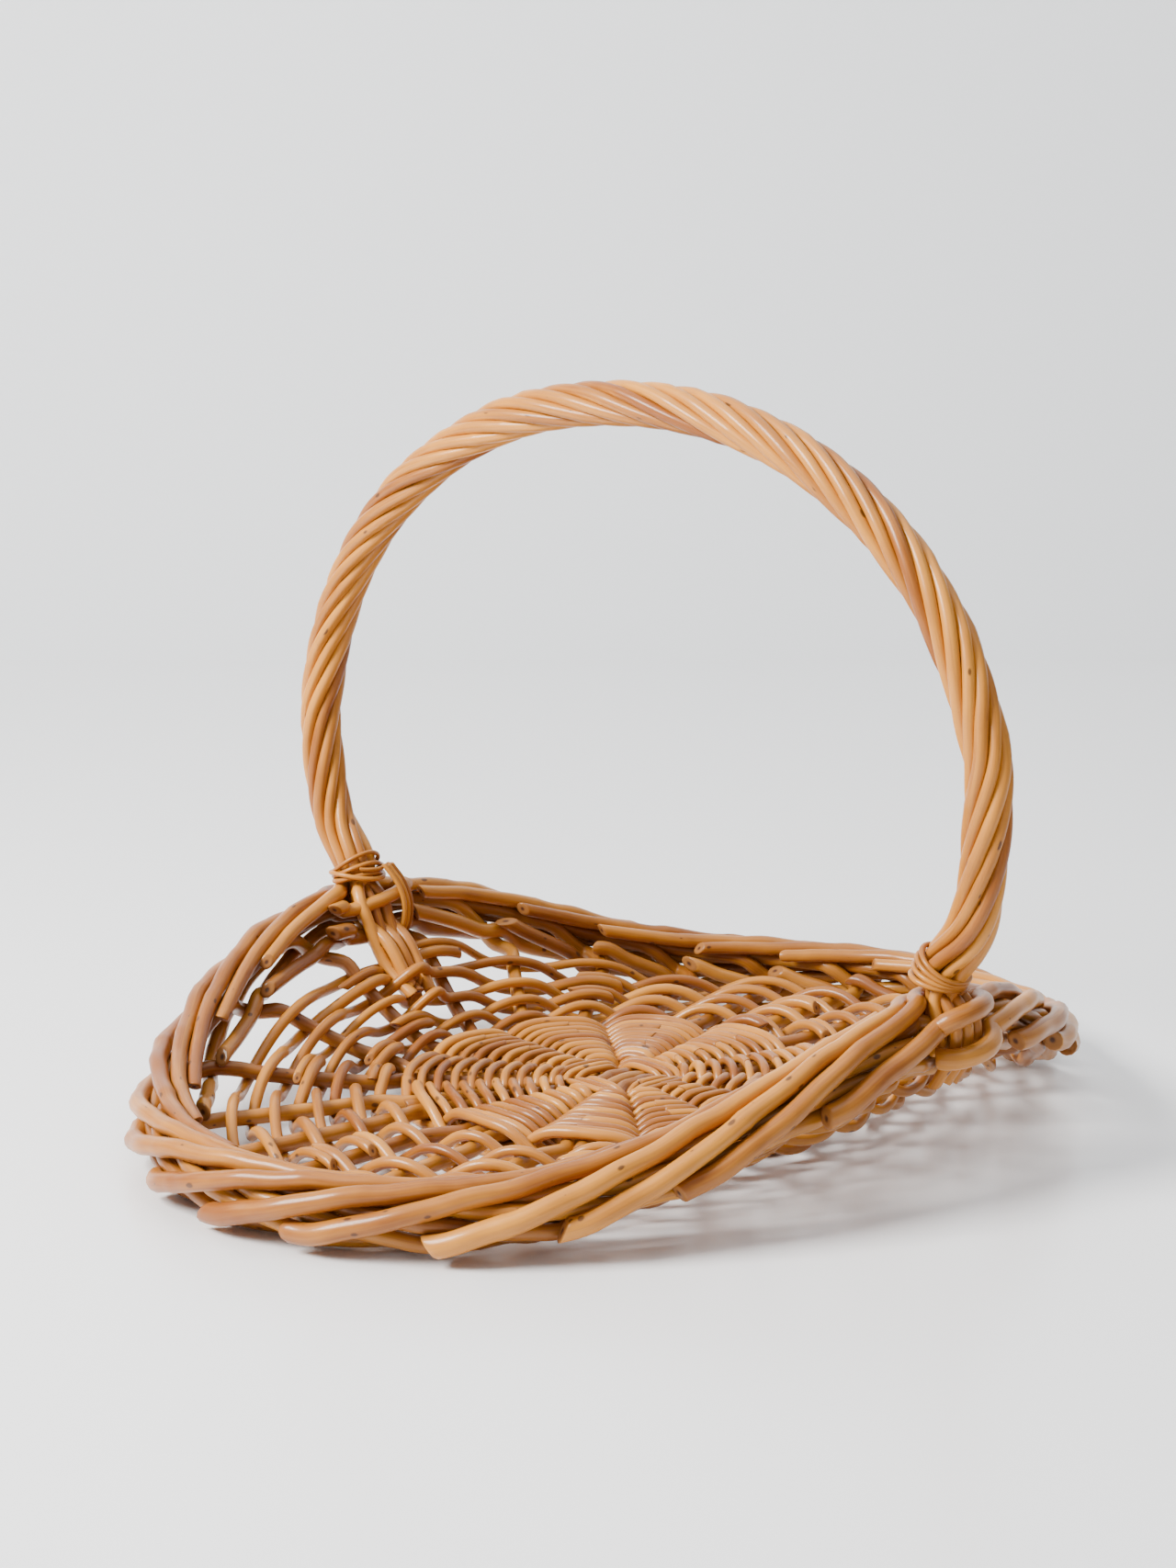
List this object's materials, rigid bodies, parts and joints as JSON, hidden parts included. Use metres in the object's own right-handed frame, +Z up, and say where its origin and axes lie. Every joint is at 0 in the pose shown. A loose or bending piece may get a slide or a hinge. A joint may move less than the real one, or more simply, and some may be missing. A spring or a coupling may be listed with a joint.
{
  "type": "wicker basket",
  "caption": "Low oval woven willow gathering basket with a rolled border, a radiating round base and a tall roped handle arching across the tray.",
  "frame": {"origin": "on the floor under the hub of the base, at the centre of the basket's outline", "axes": "+X along the tray's long way, +Y across it in the plane of the handle, +Z up"},
  "size_m": [0.5058, 0.4188, 0.3398],
  "materials": {
    "base_stick_willow": "varnished peeled willow, darker honey brown, split faces",
    "base_weaving_willow": "varnished buff willow, glossy, small dark knots",
    "stake_willow": "varnished buff willow, glossy",
    "side_weaving_willow": "varnished buff willow, glossy, small dark knots",
    "border_willow": "varnished buff willow, thick rods, glossy, cut ends",
    "handle_willow": "varnished paler willow, glossy",
    "binding_cane": "varnished thin cane"
  },
  "bodies": {
    "root": {"base_weave": "base_weaving_willow", "border_rods_01": "border_willow", "border_rods_02": "border_willow", "border_rods_03": "border_willow", "border_rods_04": "border_willow", "border_rods_05": "border_willow", "border_rods_06": "border_willow", "border_rods_07": "border_willow", "border_rods_08": "border_willow", "border_rods_09": "border_willow", "border_rods_10": "border_willow", "border_rods_11": "border_willow", "border_rods_12": "border_willow", "foot_wale": "base_weaving_willow", "handle_binding_left": "binding_cane", "handle_binding_right": "binding_cane", "handle_bow": "handle_willow", "handle_strands": "handle_willow", "side_row_1": "side_weaving_willow", "side_row_2": "side_weaving_willow", "side_row_3": "side_weaving_willow", "side_row_4": "side_weaving_willow", "side_row_5": "side_weaving_willow", "side_row_6": "side_weaving_willow", "side_row_7": "side_weaving_willow", "side_row_8": "side_weaving_willow", "side_stake_01": "stake_willow", "side_stake_02": "stake_willow", "side_stake_03": "stake_willow", "side_stake_04": "stake_willow", "side_stake_05": "stake_willow", "side_stake_06": "stake_willow", "side_stake_07": "stake_willow", "side_stake_08": "stake_willow", "side_stake_09": "stake_willow", "side_stake_10": "stake_willow", "side_stake_11": "stake_willow", "side_stake_12": "stake_willow", "side_stake_13": "stake_willow", "side_stake_14": "stake_willow", "side_stake_15": "stake_willow", "side_stake_16": "stake_willow", "side_stake_17": "stake_willow", "side_stake_18": "stake_willow", "side_stake_19": "stake_willow", "side_stake_20": "stake_willow", "side_stake_21": "stake_willow", "side_stake_22": "stake_willow", "side_stake_23": "stake_willow", "side_stake_24": "stake_willow", "slath_tie": "base_weaving_willow", "split_stick_1": "base_stick_willow", "split_stick_2": "base_stick_willow", "split_stick_3": "base_stick_willow", "through_stick_1": "base_stick_willow", "through_stick_2": "base_stick_willow", "through_stick_3": "base_stick_willow"}
  },
  "joints": []
}
